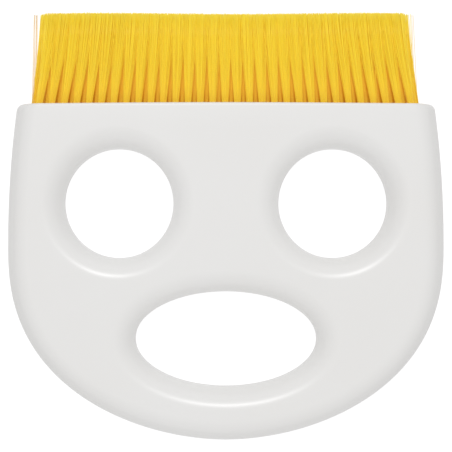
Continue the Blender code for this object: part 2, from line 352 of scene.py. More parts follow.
fineSteps = {"side": 12, "chin": 160, "eye": 144, "mouth": 176, "arc": 24}
plainSteps = {"side": 5, "chin": 48, "eye": 48, "mouth": 56, "arc": 6}
cornerRows = 18
seamRows = 3
smoothAngle = math.radians(32)
weldDistance = 0.000001
cutReach = 0.000002
loopWeld = 0.00002
sliverLength = 0.000005
levelAngle = math.radians(0.5)
levelNormal = 0.99999
capNormal = 0.9999
slotEdgeAngle = math.radians(60)
seamScale = 1000.0

widestY = topY - handle["widestBelowTop"]
chinY = widestY - handle["sideStraight"]
slotHalfLength = fieldHalfLength + handle["fitGap"]
slotHalfDepth = fieldHalfDepth + handle["fitGap"]
flangeTopY = blockLow.y + handle["flange"]
eyeX = handle["eyeSpacing"] / 2
eyeY = topY - handle["eyeBelowTop"]
mouthY = bottomY + handle["chinBar"] + handle["mouthHeight"] / 2


def sideAt(y):
    if y >= widestY:
        arc = handle["sideArc"]
        return halfWidth - arc + math.sqrt(arc ** 2 - (y - widestY) ** 2)
    if y >= chinY:
        return halfWidth
    drop = (y - chinY) / (bottomY - chinY)
    return halfWidth * (1 - drop ** handle["chinDropPower"]) ** (1 / handle["chinWidthPower"])


def chinAt(turn):
    across = math.cos(math.pi * turn)
    down = math.sin(math.pi * turn)
    x = halfWidth * math.copysign(abs(across) ** (2 / handle["chinWidthPower"]), across)
    return x, chinY + (bottomY - chinY) * down ** (2 / handle["chinDropPower"])


def outlineOf(steps):
    highY = topY + handle["runPast"] + handle["rimRadius"]
    right = []
    for step in range(steps["side"] + 1):
        y = highY + (widestY - highY) * step / steps["side"]
        right.append((sideAt(y), y))
    chin = [chinAt(step / steps["chin"]) for step in range(steps["chin"] + 1)]
    return right + chin + [(-x, y) for x, y in reversed(right)]


def ovalOf(middleX, middleY, reachX, reachY, count):
    turns = [2 * math.pi * step / count for step in range(count)]
    return [(middleX + reachX * math.cos(t), middleY + reachY * math.sin(t)) for t in turns]


# A plate from the outline and the openings, all its surfaces moved in by inset
def makePlate(inset, steps):
    curve = bpy.data.curves.new("plateOutline", "CURVE")
    curve.dimensions = "2D"
    curve.fill_mode = "BOTH"
    curve.extrude = middleZ - handle["rimRadius"]
    curve.bevel_depth = handle["rimRadius"] - inset
    curve.bevel_resolution = steps["arc"] - 1
    curve.offset = -handle["rimRadius"]
    eye = handle["eyeRadius"]
    mouth = (handle["mouthWidth"] / 2, handle["mouthHeight"] / 2)
    rings = [outlineOf(steps), ovalOf(0.0, mouthY, *mouth, steps["mouth"])]
    rings += [ovalOf(x, eyeY, eye, eye, steps["eye"]) for x in (-eyeX, eyeX)]
    for ring in rings:
        spline = curve.splines.new("POLY")
        spline.points.add(len(ring) - 1)
        spline.use_cyclic_u = True
        for point, (x, y) in zip(spline.points, ring):
            point.co = (x, y, 0.0, 1.0)
    guide = bpy.data.objects.new("plateOutline", curve)
    bpy.context.scene.collection.objects.link(guide)
    depsgraph = bpy.context.evaluated_depsgraph_get()
    mesh = bpy.data.meshes.new_from_object(guide.evaluated_get(depsgraph))
    shape = bmesh.new()
    shape.from_mesh(mesh)
    bpy.data.objects.remove(guide)
    bpy.data.meshes.remove(mesh)
    bmesh.ops.translate(shape, verts=shape.verts, vec=(0.0, 0.0, middleZ))
    bmesh.ops.remove_doubles(shape, verts=shape.verts, dist=weldDistance)
    bmesh.ops.recalc_face_normals(shape, faces=shape.faces)
    joinLevelFaces(shape)
    return shape


# Join the triangles of each level area into a few large faces
def joinLevelFaces(shape):
    edges = [edge for edge in shape.edges if edge.is_manifold and all(
        abs(face.normal.z) > levelNormal for face in edge.link_faces)]
    bmesh.ops.dissolve_limit(shape, angle_limit=levelAngle, edges=edges, delimit={"NORMAL"})


# Cut a shape by the plane at a height along an axis, and drop one side or none
def cutAt(shape, axis, height, drop=None):
    everything = shape.verts[:] + shape.edges[:] + shape.faces[:]
    bmesh.ops.bisect_plane(
        shape, geom=everything, dist=cutReach, plane_co=axis * height, plane_no=axis,
        clear_outer=drop == "above", clear_inner=drop == "below")


def weldRims(shape):
    rims = [vert for vert in shape.verts if vert.is_boundary]
    bmesh.ops.remove_doubles(shape, verts=rims, dist=loopWeld)
    return [edge for edge in shape.edges if edge.is_boundary]


# One face over one open loop
def closeLoop(shape):
    return bmesh.ops.edgeloop_fill(shape, edges=weldRims(shape))["faces"]


# Faces between all the open loops, found at a large scale because their steps are fine
def closeSeam(shape):
    edges = weldRims(shape)
    bmesh.ops.scale(shape, verts=shape.verts, vec=(seamScale,) * 3)
    bmesh.ops.triangle_fill(shape, use_beauty=True, use_dissolve=False, edges=edges)
    bmesh.ops.scale(shape, verts=shape.verts, vec=(1 / seamScale,) * 3)
    shape.normal_update()
    joinLevelFaces(shape)


alongX, alongY, alongZ = Vector((1, 0, 0)), Vector((0, 1, 0)), Vector((0, 0, 1))


def quarterArc(share):
    return math.sqrt(max(0.0, 1 - max(0.0, share) ** 2))


# Round the level top into the sides and into both faces
def roundTop(shape):
    corner = handle["cornerRadius"]
    reach = handle["topEdgeReach"]
    span = max(corner, reach)
    startY = topY - span
    for row in range(cornerRows):
        cutAt(shape, alongY, startY + span * row / cornerRows)
    cutAt(shape, alongY, topY, drop="above")
    for vert in shape.verts:
        if vert.co.y <= startY:
            continue
        turn = (vert.co.y - startY) / span * math.pi / 2
        y = startY + span * math.sin(turn)
        narrowed = sideAt(y) - corner * (1 - quarterArc((y - topY) / corner + 1))
        thinned = middleZ - handle["topEdgeDepth"] * (1 - quarterArc((y - topY) / reach + 1))
        x = vert.co.x * narrowed / sideAt(vert.co.y)
        z = middleZ + (vert.co.z - middleZ) * thinned / middleZ
        vert.co = (x, y, z)
    lid = closeLoop(shape)
    bmesh.ops.inset_region(shape, faces=lid, thickness=handle["topInset"])


# Draw the skin in a little where the two halves meet
def softenSeam(shape, side):
    soft = handle["seamSoftness"]
    seamZ = middleZ + side * seamGap / 2
    shape.normal_update()
    for vert in shape.verts:
        up = side * (vert.co.z - seamZ)
        if up < soft - cutReach:
            pull = soft - math.sqrt(max(0.0, soft ** 2 - (soft - up) ** 2))
            outward = Vector((vert.normal.x, vert.normal.y, 0.0)).normalized()
            vert.co -= outward * pull


# The hollow of one half: the channel for the block's flange, and the main room below it
def addHollow(shape, side):
    channelTop = flangeTopY + handle["fitGap"]
    channelBottom = blockLow.y - handle["fitGap"]
    seamZ = middleZ + side * seamGap / 2
    for low, high in ((None, channelBottom - handle["shelf"]), (channelBottom, channelTop)):
        room = makePlate(handle["wall"], plainSteps)
        cutAt(room, alongY, high, drop="above")
        closeLoop(room)
        if low is not None:
            cutAt(room, alongY, low, drop="below")
            closeLoop(room)
        cutAt(room, alongZ, seamZ, drop="below" if side > 0 else "above")
        bmesh.ops.recalc_face_normals(room, faces=room.faces)
        bmesh.ops.reverse_faces(room, faces=room.faces)
        scratch = bpy.data.meshes.new("room")
        room.to_mesh(scratch)
        room.free()
        shape.from_mesh(scratch)
        bpy.data.meshes.remove(scratch)


def boxShape(low, high):
    shape = bmesh.new()
    middle = [(a + b) / 2 for a, b in zip(low, high)]
    size = [b - a for a, b in zip(low, high)]
    place = Matrix.Translation(middle) @ Matrix.Diagonal((*size, 1.0))
    bmesh.ops.create_cube(shape, size=1.0, matrix=place)
    return shape


def postShape(places, radius, firstZ, lastZ):
    shape = bmesh.new()
    for x, y in places:
        middle = Matrix.Translation((x, y, (firstZ + lastZ) / 2))
        bmesh.ops.create_cone(shape, cap_ends=True, segments=handle["pinSides"], radius1=radius,
                              radius2=radius, depth=abs(lastZ - firstZ), matrix=middle)
    return shape


def objectFrom(name, shape):
    mesh = bpy.data.meshes.new(name)
    shape.to_mesh(mesh)
    shape.free()
    item = bpy.data.objects.new(name, mesh)
    bpy.context.scene.collection.objects.link(item)
    return item


# Boolean steps, done one after the other, with the result as a plain mesh
def carve(item, steps):
    tools = []
    for operation, shape in steps:
        tool = objectFrom("carvingTool", shape)
        modifier = item.modifiers.new(operation, "BOOLEAN")
        modifier.operation = operation
        modifier.solver = "EXACT"
        modifier.object = tool
        tools.append(tool)
    depsgraph = bpy.context.evaluated_depsgraph_get()
    mesh = bpy.data.meshes.new_from_object(item.evaluated_get(depsgraph))
    item.modifiers.clear()
    item.data = mesh
    for tool in tools:
        bpy.data.objects.remove(tool)


pinPlaces = [(0.0, eyeY), (0.0, bottomY + handle["chinBar"] / 2)]
cheekX = (handle["mouthWidth"] / 2 + sideAt(mouthY)) / 2
pinPlaces += [(cheekX, mouthY), (-cheekX, mouthY)]


# Round the two long edges and the ends where the slot meets the level top
def softenSlot(half):
    shape = bmesh.new()
    shape.from_mesh(half.data)
    bmesh.ops.remove_doubles(shape, verts=shape.verts, dist=weldDistance)
    edges = []
    for edge in shape.edges:
        ends = [vert.co for vert in edge.verts]
        onTop = all(abs(end.y - topY) < loopWeld for end in ends)
        atSlot = all(abs(end.x) < slotHalfLength + loopWeld for end in ends)
        atSeam = all(abs(end.z - middleZ) < seamGap for end in ends)
        sharp = abs(edge.calc_face_angle(0.0)) > slotEdgeAngle
        if onTop and sharp and atSlot and not atSeam:
            edges.append(edge)
    bmesh.ops.bevel(shape, geom=edges, offset=handle["slotSoftness"], segments=2,
                    profile=0.5, affect="EDGES", clamp_overlap=True)
    bmesh.ops.dissolve_degenerate(shape, edges=shape.edges, dist=sliverLength)
    shape.to_mesh(half.data)
    shape.free()


# Bow the top edge up a little towards its middle, and leave the rest where it is
def bowTop(half):
    shape = bmesh.new()
    shape.from_mesh(half.data)
    startY = topY - handle["bowDepth"]
    cutAt(shape, alongY, startY)
    for step in range(1 - handle["bowSteps"], handle["bowSteps"]):
        upper = [vert for vert in shape.verts if vert.co.y > startY - cutReach]
        upper += [part for part in shape.edges[:] + shape.faces[:] if all(
            vert.co.y > startY - cutReach for vert in part.verts)]
        bmesh.ops.bisect_plane(
            shape, geom=upper, dist=cutReach, plane_no=alongX,
            plane_co=alongX * halfWidth * step / handle["bowSteps"])
    for vert in shape.verts:
        share = (vert.co.y - startY) / handle["bowDepth"]
        if share > 0:
            bow = (1 - (vert.co.x / handle["bowReach"]) ** 2) ** 2
            vert.co.y += handle["bowRise"] * bow * share ** 2 * (3 - 2 * share)
    shape.to_mesh(half.data)
    shape.free()


def finishPiece(item, name, material, nodes):
    item.name = name
    item.data.name = name
    item.data.materials.clear()
    item.data.materials.append(material)
    item.data.shade_smooth()
    item.data.set_sharp_from_angle(angle=smoothAngle)
    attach(item, "root")
    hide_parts(*nodes)


def makeHalf(name, node, side):
    shape = makePlate(0.0, fineSteps)
    flats = [face for face in shape.faces if abs(face.normal.z) > capNormal]
    bmesh.ops.inset_region(shape, faces=flats, thickness=handle["capInset"])
    roundTop(shape)
    seamZ = middleZ + side * seamGap / 2
    for row in range(1, seamRows + 1):
        turn = math.pi / 2 * row / seamRows
        cutAt(shape, alongZ, seamZ + side * handle["seamSoftness"] * (1 - math.cos(turn)))
    cutAt(shape, alongZ, seamZ, drop="below" if side > 0 else "above")
    softenSeam(shape, side)
    addHollow(shape, side)
    closeSeam(shape)
    bmesh.ops.recalc_face_normals(shape, faces=shape.faces)
    half = objectFrom(name, shape)
    bore = handle["pinRadius"] + handle["fitGap"]
    pinReach = side * handle["pinLength"]
    inWall = middleZ + side * (middleZ - handle["wall"] / 2)
    steps = [("UNION", postShape(pinPlaces, bore + handle["socketWall"], seamZ, inWall))]
    if side > 0:
        boreEnd = seamZ + pinReach + handle["fitGap"]
        steps.append(("DIFFERENCE", postShape(pinPlaces, bore, seamZ - seamGap, boreEnd)))
    else:
        pins = postShape(pinPlaces, handle["pinRadius"], seamZ + pinReach, seamZ - pinReach)
        steps.append(("UNION", pins))
    slotLow = (-slotHalfLength, flangeTopY - handle["slotOverlap"], middleZ - slotHalfDepth)
    slotHigh = (slotHalfLength, topY + handle["runPast"], middleZ + slotHalfDepth)
    steps.append(("DIFFERENCE", boxShape(slotLow, slotHigh)))
    carve(half, steps)
    softenSlot(half)
    bowTop(half)
    finishPiece(half, name, glossWhite, [node])
    return half


frontHalf = makeHalf("frontHandleHalf", "front_shell", 1)
rearHalf = makeHalf("rearHandleHalf", "rear_shell", -1)
print("handle made:", len(frontHalf.data.polygons), len(rearHalf.data.polygons))


# Geometry Nodes helpers
def setInputs(modifier, values):
    for item in modifier.node_group.interface.items_tree:
        if item.item_type == "SOCKET" and item.in_out == "INPUT" and item.name in values:
            modifier[item.identifier] = values[item.name]


def grow(name, startMesh, tree, values):
    item = bpy.data.objects.new(name, startMesh)
    bpy.context.scene.collection.objects.link(item)
    modifier = item.modifiers.new(name, "NODES")
    modifier.node_group = tree
    setInputs(modifier, values)
    depsgraph = bpy.context.evaluated_depsgraph_get()
    mesh = bpy.data.meshes.new_from_object(
        item.evaluated_get(depsgraph), preserve_all_data_layers=True, depsgraph=depsgraph)
    item.modifiers.remove(modifier)
    item.data = mesh
    mesh.name = name
    return item


def named(tree, title):
    node = addNode(tree, "GeometryNodeInputNamedAttribute", {"Name": title}, data_type="FLOAT")
    return node.outputs["Attribute"]


def keep(tree, geometry, title, value):
    node = addNode(tree, "GeometryNodeStoreNamedAttribute", {"Geometry": geometry, "Name": title},
                   data_type="FLOAT", domain="POINT")
    feed(tree, node.inputs["Value"], value)
    return node.outputs["Geometry"]


def total(tree, first, *others):
    for other in others:
        first = calc(tree, "ADD", first, other)
    return first


def product(tree, first, *others):
    for other in others:
        first = calc(tree, "MULTIPLY", first, other)
    return first


def placeOf(tree):
    position = addNode(tree, "GeometryNodeInputPosition").outputs["Position"]
    return addNode(tree, "ShaderNodeSeparateXYZ", {"Vector": position}).outputs


def chance(tree, low, high, seed, identity):
    node = addNode(tree, "FunctionNodeRandomValue", {"ID": identity}, data_type="FLOAT")
    feed(tree, node.inputs[2], low)
    feed(tree, node.inputs[3], high)
    feed(tree, node.inputs["Seed"], seed)
    return node.outputs[1]


def joinAxes(tree, x, y, z):
    return addNode(tree, "ShaderNodeCombineXYZ", {"X": x, "Y": y, "Z": z}).outputs["Vector"]


field = {
    "rows": 3,
    "rowMargin": 0.0004,
    "spread": 1.007,
    "aside": -0.00035,
    "faceBelowTop": 0.0004,
    "endRoom": 0.25,
}
faceY = topY - field["faceBelowTop"]
rowPitch = (fieldHalfDepth - field["rowMargin"]) * 2 / field["rows"]
placeInputs = [
    ("Columns", whole, 1), ("First Column", whole, 0), ("Rows", whole, 3),
    ("Column Pitch", number, 0.0056), ("Row Pitch", number, 0.0056),
    ("Half Length", number, 0.09), ("Middle Z", number, 0.0125), ("Face Y", number, 0.056)]
placeValues = {
    "Rows": field["rows"], "Column Pitch": columnPitch * field["spread"], "Row Pitch": rowPitch,
    "Half Length": fieldHalfLength * field["spread"] - field["aside"], "Middle Z": middleZ,
    "Face Y": faceY}


# One point for each tuft: rows from the front, the first and the third shifted by half a pitch,
# and no point past the end of the field
def makeTuftPlaces():
    tree, inlet, outlet = newGroup(
        "tuftPlaces", "GeometryNodeTree", placeInputs,
        [("Points", shapeSocket), ("Row", number), ("Column", number)])
    size = inlet.outputs
    index = addNode(tree, "GeometryNodeInputIndex").outputs["Index"]
    count = product(tree, size["Columns"], size["Rows"])
    row = calc(tree, "FLOORED_MODULO", index, size["Rows"])
    step = calc(tree, "FLOOR", calc(tree, "DIVIDE", total(tree, index, 0.5), size["Rows"]))
    column = total(tree, step, size["First Column"])
    shift = product(tree, calc(tree, "FLOORED_MODULO", total(tree, row, 1.0), 2.0), 0.5)
    x = calc(tree, "SUBTRACT", product(tree, total(tree, column, 0.5, shift), size["Column Pitch"]),
             size["Half Length"])
    middleRow = product(tree, calc(tree, "SUBTRACT", size["Rows"], 1.0), 0.5)
    behind = calc(tree, "SUBTRACT", middleRow, row)
    z = calc(tree, "MULTIPLY_ADD", behind, size["Row Pitch"], size["Middle Z"])
    points = addNode(tree, "GeometryNodePoints", {
        "Count": count, "Position": joinAxes(tree, x, size["Face Y"], z)}).outputs["Points"]
    points = keep(tree, points, "row", row)
    points = keep(tree, points, "column", column)
    lastX = calc(tree, "SUBTRACT", size["Half Length"],
                 product(tree, size["Column Pitch"], field["endRoom"]))
    pastEnd = calc(tree, "GREATER_THAN", placeOf(tree)["X"], lastX)
    kept = addNode(tree, "GeometryNodeDeleteGeometry", {
        "Geometry": points, "Selection": pastEnd}, domain="POINT").outputs["Geometry"]
    feed(tree, outlet.inputs["Points"], kept)
    feed(tree, outlet.inputs["Row"], named(tree, "row"))
    feed(tree, outlet.inputs["Column"], named(tree, "column"))
    return tree


tuftPlaces = makeTuftPlaces()


def placeTufts(tree, inlet):
    inputs = {title: inlet.outputs[title] for title, _, _ in placeInputs}
    return addNode(tree, "GeometryNodeGroup", inputs, node_tree=tuftPlaces)


# The block: a flange and a neck, drilled with one hole for each tuft
def makeDrilledBlock():
    tree, inlet, outlet = newGroup(
        "drilledBlock", "GeometryNodeTree",
        [("Geometry", shapeSocket, None)] + placeInputs +
        [("Hole Radius", number, 0.0015), ("Hole Depth", number, 0.004), ("Hole Sides", whole, 16),
         ("Finish", paint, None)],
        [("Geometry", shapeSocket)])
    size = inlet.outputs
    places = placeTufts(tree, inlet)
    depth = product(tree, size["Hole Depth"], 2.0)
    drill = addNode(tree, "GeometryNodeMeshCylinder", {
        "Vertices": size["Hole Sides"], "Radius": size["Hole Radius"], "Depth": depth})
    turned = addNode(tree, "GeometryNodeTransform", {
        "Geometry": drill.outputs["Mesh"], "Rotation": (math.pi / 2, 0.0, 0.0)})
    drills = addNode(tree, "GeometryNodeInstanceOnPoints", {
        "Points": places.outputs["Points"], "Instance": turned.outputs["Geometry"]})
    real = addNode(tree, "GeometryNodeRealizeInstances", {
        "Geometry": drills.outputs["Instances"]})
    cut = addNode(tree, "GeometryNodeMeshBoolean", operation="DIFFERENCE", solver="EXACT")
    feed(tree, cut.inputs["Mesh 1"], size["Geometry"])
    feed(tree, cut.inputs["Mesh 2"], real.outputs["Geometry"])
    drilled = addNode(tree, "GeometryNodeRealizeInstances", {"Geometry": cut.outputs["Mesh"]})
    done = addNode(tree, "GeometryNodeSetMaterial", {
        "Geometry": drilled.outputs["Geometry"], "Material": size["Finish"]})
    feed(tree, outlet.inputs["Geometry"], done.outputs["Geometry"])
    return tree


block = {
    "edgeSoftness": 0.0004,
    "edgeZone": 0.001,
    "holeRadius": 0.00160,
    "holeDepth": 0.0035,
    "holeSides": 16,
}


def makeBlock():
    shape = makePlate(handle["wall"] + handle["fitGap"], plainSteps)
    cutAt(shape, alongY, flangeTopY, drop="above")
    closeLoop(shape)
    cutAt(shape, alongY, blockLow.y, drop="below")
    closeLoop(shape)
    bmesh.ops.recalc_face_normals(shape, faces=shape.faces)
    flange = objectFrom("flange", shape)
    low = (-fieldHalfLength, (blockLow.y + flangeTopY) / 2, middleZ - fieldHalfDepth)
    neck = boxShape(low, (fieldHalfLength, faceY, middleZ + fieldHalfDepth))
    edgesFrom = topY - block["edgeZone"]
    edges = [edge for edge in neck.edges if all(vert.co.y > edgesFrom for vert in edge.verts)]
    bmesh.ops.bevel(neck, geom=edges, offset=block["edgeSoftness"], segments=2, profile=0.5,
                    affect="EDGES")
    carve(flange, [("UNION", neck)])
    values = {
        **placeValues, "Columns": len(tuftNodes), "First Column": 0, "Finish": blockWhite,
        "Hole Radius": block["holeRadius"], "Hole Depth": block["holeDepth"],
        "Hole Sides": block["holeSides"]}
    item = grow("tuftBlock", flange.data, makeDrilledBlock(), values)
    bpy.data.objects.remove(flange)
    finishPiece(item, "tuftBlock", blockWhite, ["tuft_block"])


makeBlock()
print("block made")

tuft = {
    "filaments": 100,
    "rootRadius": 0.00138,
    "rootDepth": 0.0012,
    "filamentRadius": 0.000120,
    "filamentSides": 4,
    "lineLength": 0.04,
    "tipClear": 0.00003,
    "steps": 5,
    "flare": 2.00,
    "flareDeep": 1.8,
    "drawIn": 0.103,
    "drawInEase": 0.020,
    "tipAside": -0.00046,
    "bend": 0.00035,
    "tuftSway": 0.00020,
    "tipJitter": 0.00022,
    "tipWave": 0.00050,
    "waveTurn": 48.0,
    "waveStart": 1.28,
    "tipCrown": 0.00025,
    "strayShare": 0.03,
    "strayHold": 0.84,
    "seed": 7,
    "firstSeed": 10,
    "seeds": 6,
    "hairStride": 1000.0,
    "turnByTuft": 1.7,
    "reachRange": (0.93, 1.04),
    "openOuter": 0.6,
    "openInner": 0.6,
    "openFacing": 0.9,
    "closedAcross": -3.0,
    "endPitches": 1.2,
    "openEnd": 0.40,
    "openEndAcross": 0.35,
    "endAmberGlow": -0.8,
    "loosePitches": 0.5,
}
tuftInputs = [
    ("Filaments", whole, "filaments"), ("Root Radius", number, "rootRadius"),
    ("Root Depth", number, "rootDepth"), ("Filament Radius", number, "filamentRadius"),
    ("Steps", whole, "steps"), ("Flare", number, "flare"), ("Flare Deep", number, "flareDeep"),
    ("Draw In", number, "drawIn"), ("Draw In Ease", number, "drawInEase"),
    ("Tip Aside", number, "tipAside"), ("Bend", number, "bend"),
    ("Tuft Sway", number, "tuftSway"), ("Tip Jitter", number, "tipJitter"),
    ("Tip Wave", number, "tipWave"), ("Wave Turn", number, "waveTurn"),
    ("Wave Start", number, "waveStart"), ("Tip Crown", number, "tipCrown"),
    ("Stray Share", number, "strayShare"), ("Stray Hold", number, "strayHold"),
    ("Seed", whole, "seed")]


# One column of tufts: fans of fine filaments, drawn in together and trimmed level
def makeTuftColumn():
    tree, inlet, outlet = newGroup(
        "tuftColumn", "GeometryNodeTree",
        placeInputs + [(title, kind, tuft[key]) for title, kind, key in tuftInputs] +
        [("Tip Y", number, tipY), ("Finish", paint, None)],
        [("Geometry", shapeSocket)])
    size = inlet.outputs
    places = placeTufts(tree, inlet)
    tuftNumber = calc(tree, "MULTIPLY_ADD", places.outputs["Column"], size["Rows"],
                      places.outputs["Row"])
    spot = placeOf(tree)
    points = keep(tree, places.outputs["Points"], "middleX", spot["X"])
    points = keep(tree, points, "middleZ", spot["Z"])
    points = keep(tree, points, "tuftNumber", tuftNumber)
    points = keep(tree, points, "sway", chance(
        tree, product(tree, size["Tuft Sway"], -1.0), size["Tuft Sway"], size["Seed"],
        named(tree, "tuftNumber")))

    copies = addNode(tree, "GeometryNodeDuplicateElements", {
        "Geometry": points, "Amount": size["Filaments"]}, domain="POINT")
    order = copies.outputs["Duplicate Index"]
    hairNumber = calc(tree, "MULTIPLY_ADD", named(tree, "tuftNumber"), tuft["hairStride"], order)
    hairs = keep(tree, copies.outputs["Geometry"], "hairNumber", hairNumber)
    seeds = [total(tree, size["Seed"], tuft["firstSeed"] + step) for step in range(tuft["seeds"])]
    hair = named(tree, "hairNumber")

    # The filaments stand in their hole like the seeds of a sunflower
    share = calc(tree, "DIVIDE", total(tree, order, 0.5), size["Filaments"])
    reach = product(tree, calc(tree, "SQRT", share), size["Root Radius"],
                    chance(tree, *tuft["reachRange"], seeds[0], hairNumber))
    goldenTurn = math.pi * (3 - math.sqrt(5))
    turn = total(tree, product(tree, order, goldenTurn),
                 product(tree, named(tree, "tuftNumber"), tuft["turnByTuft"]))
    offX = product(tree, reach, calc(tree, "COSINE", turn))
    offZ = product(tree, reach, calc(tree, "SINE", turn))
    hairs = keep(tree, hairs, "offX", offX)
    hairs = keep(tree, hairs, "offZ", offZ)
    hairs = keep(tree, hairs, "tone", chance(tree, 0.0, 1.0, seeds[1], hair))
    hairs = keep(tree, hairs, "bendX", chance(tree, -1.0, 1.0, seeds[2], hair))
    hairs = keep(tree, hairs, "bendZ", chance(tree, -1.0, 1.0, seeds[3], hair))
    hairs = keep(tree, hairs, "cut", chance(tree, 0.0, 1.0, seeds[4], hair))

    # How open to the light a filament stands, by its row, its side of the tuft and the field's end
    frontRow = calc(tree, "LESS_THAN", named(tree, "row"), 0.5)
    backRow = calc(tree, "GREATER_THAN", named(tree, "row"),
                   calc(tree, "SUBTRACT", size["Rows"], 1.5))
    inner = calc(tree, "SUBTRACT", 1.0, total(tree, frontRow, backRow))
    across = calc(tree, "DIVIDE", offX, size["Root Radius"])
    facing = calc(tree, "DIVIDE", offZ, size["Root Radius"])
    outward = total(tree, product(tree, frontRow, facing),
                    product(tree, backRow, product(tree, facing, -1.0)))
    byRow = total(tree, calc(tree, "MULTIPLY_ADD", inner, tuft["openInner"], tuft["openOuter"]),
                  product(tree, outward, tuft["openFacing"]))
    closed = product(tree, across, across, tuft["closedAcross"])
    byRow = calc(tree, "MULTIPLY_ADD", inner, closed, byRow)
    endFrom = calc(tree, "SUBTRACT", size["Half Length"],
                   product(tree, size["Column Pitch"], tuft["endPitches"]))
    pastEnd = calc(tree, "SUBTRACT", calc(tree, "ABSOLUTE", named(tree, "middleX")), endFrom)
    atEnd = calc(tree, "GREATER_THAN", pastEnd, 0.0)
    outer = product(tree, across, calc(tree, "SIGN", named(tree, "middleX")))
    byEnd = product(tree, atEnd, calc(
        tree, "MULTIPLY_ADD", outer, tuft["openEndAcross"], tuft["openEnd"]))
    hairs = keep(tree, hairs, "inner", inner)
    # Painted light: the inner row's roots get an amber glow, less at the field's ends
    hairs = keep(tree, hairs, "amberGlow", calc(
        tree, "MULTIPLY_ADD", product(tree, inner, atEnd), tuft["endAmberGlow"], inner))
    hairs = keep(tree, hairs, "open", addNode(tree, "ShaderNodeClamp", {
        "Value": calc(tree, "MAXIMUM", byRow, byEnd)}).outputs["Result"])
    isStray = calc(tree, "LESS_THAN", chance(tree, 0.0, 1.0, seeds[5], hair), size["Stray Share"])
    looseFrom = product(tree, size["Column Pitch"], tuft["loosePitches"])
    hairs = keep(tree, hairs, "stray", isStray)
    hairs = keep(tree, hairs, "loose", product(
        tree, isStray, calc(tree, "GREATER_THAN", pastEnd, looseFrom)))

    line = addNode(tree, "GeometryNodeCurvePrimitiveLine", {
        "Start": (0.0, 0.0, 0.0), "End": (0.0, tuft["lineLength"], 0.0)})
    stepped = addNode(tree, "GeometryNodeResampleCurve", {
        "Curve": line.outputs["Curve"], "Count": size["Steps"]})
    stood = addNode(tree, "GeometryNodeInstanceOnPoints", {
        "Points": hairs, "Instance": stepped.outputs["Curve"]})
    curves = addNode(tree, "GeometryNodeRealizeInstances", {
        "Geometry": stood.outputs["Instances"]}).outputs["Geometry"]
    along = addNode(tree, "GeometryNodeSplineParameter").outputs["Factor"]
    curves = keep(tree, curves, "along", along)

    # Height runs from inside the hole to the trimmed tip, which waves a little along the brush
    rise = named(tree, "along")
    middleX, stray = named(tree, "middleX"), named(tree, "stray")
    wave = calc(tree, "SINE", calc(
        tree, "MULTIPLY_ADD", middleX, size["Wave Turn"], size["Wave Start"]))
    wave = product(tree, total(tree, product(tree, wave, 0.5), 0.5), size["Tip Wave"])
    jitter = product(tree, calc(tree, "POWER", named(tree, "cut"), 2.0), size["Tip Jitter"])
    crown = product(tree, calc(tree, "SUBTRACT", 1.0, named(tree, "inner")), size["Tip Crown"])
    tipAt = calc(tree, "SUBTRACT", calc(tree, "SUBTRACT", size["Tip Y"], wave),
                 total(tree, jitter, crown))
    rootAt = calc(tree, "SUBTRACT", size["Face Y"], size["Root Depth"])
    y = calc(tree, "MULTIPLY_ADD", rise, calc(tree, "SUBTRACT", tipAt, rootAt), rootAt)
    above = calc(tree, "DIVIDE", calc(tree, "SUBTRACT", y, size["Face Y"]),
                 calc(tree, "SUBTRACT", size["Tip Y"], size["Face Y"]))
    above = calc(tree, "MAXIMUM", above, 0.0)
    squared = product(tree, above, above)

    # The fans draw in towards the middle and flare; stray filaments stand almost straight
    drawn = calc(tree, "SUBTRACT", product(tree, squared, size["Draw In Ease"]),
                 product(tree, above, size["Draw In"]))
    drawn = product(tree, drawn, calc(
        tree, "MULTIPLY_ADD", stray, product(tree, size["Stray Hold"], -1.0), 1.0))
    middle = calc(tree, "MULTIPLY_ADD", middleX, drawn, middleX)
    follow = calc(tree, "SUBTRACT", 1.0, stray)
    widen = product(tree, above, size["Flare"], follow)
    deepen = product(tree, above, size["Flare Deep"], follow)
    bow = product(tree, squared, size["Bend"])
    offX, offZ = named(tree, "offX"), named(tree, "offZ")
    x = total(
        tree, middle, calc(tree, "MULTIPLY_ADD", offX, widen, offX),
        product(tree, bow, named(tree, "bendX")), product(tree, above, named(tree, "sway")),
        product(tree, above, size["Tip Aside"]))
    z = total(
        tree, named(tree, "middleZ"), calc(tree, "MULTIPLY_ADD", offZ, deepen, offZ),
        product(tree, bow, named(tree, "bendZ")))
    placed = addNode(tree, "GeometryNodeSetPosition", {
        "Geometry": curves, "Position": joinAxes(tree, x, y, z)}).outputs["Geometry"]

    section = addNode(tree, "GeometryNodeCurvePrimitiveCircle", {
        "Resolution": tuft["filamentSides"], "Radius": size["Filament Radius"]}, mode="RADIUS")
    tubes = addNode(tree, "GeometryNodeCurveToMesh", {
        "Curve": placed, "Profile Curve": section.outputs["Curve"], "Fill Caps": True})
    real = addNode(tree, "GeometryNodeRealizeInstances", {"Geometry": tubes.outputs["Mesh"]})
    done = addNode(tree, "GeometryNodeSetMaterial", {
        "Geometry": real.outputs["Geometry"], "Material": size["Finish"]})
    feed(tree, outlet.inputs["Geometry"], done.outputs["Geometry"])
    return tree


def dropHelperAttributes(mesh, wanted):
    for name in [layer.name for layer in mesh.attributes]:
        layer = mesh.attributes.get(name)
        if layer and not layer.is_required and not layer.is_internal and name not in wanted:
            mesh.attributes.remove(layer)


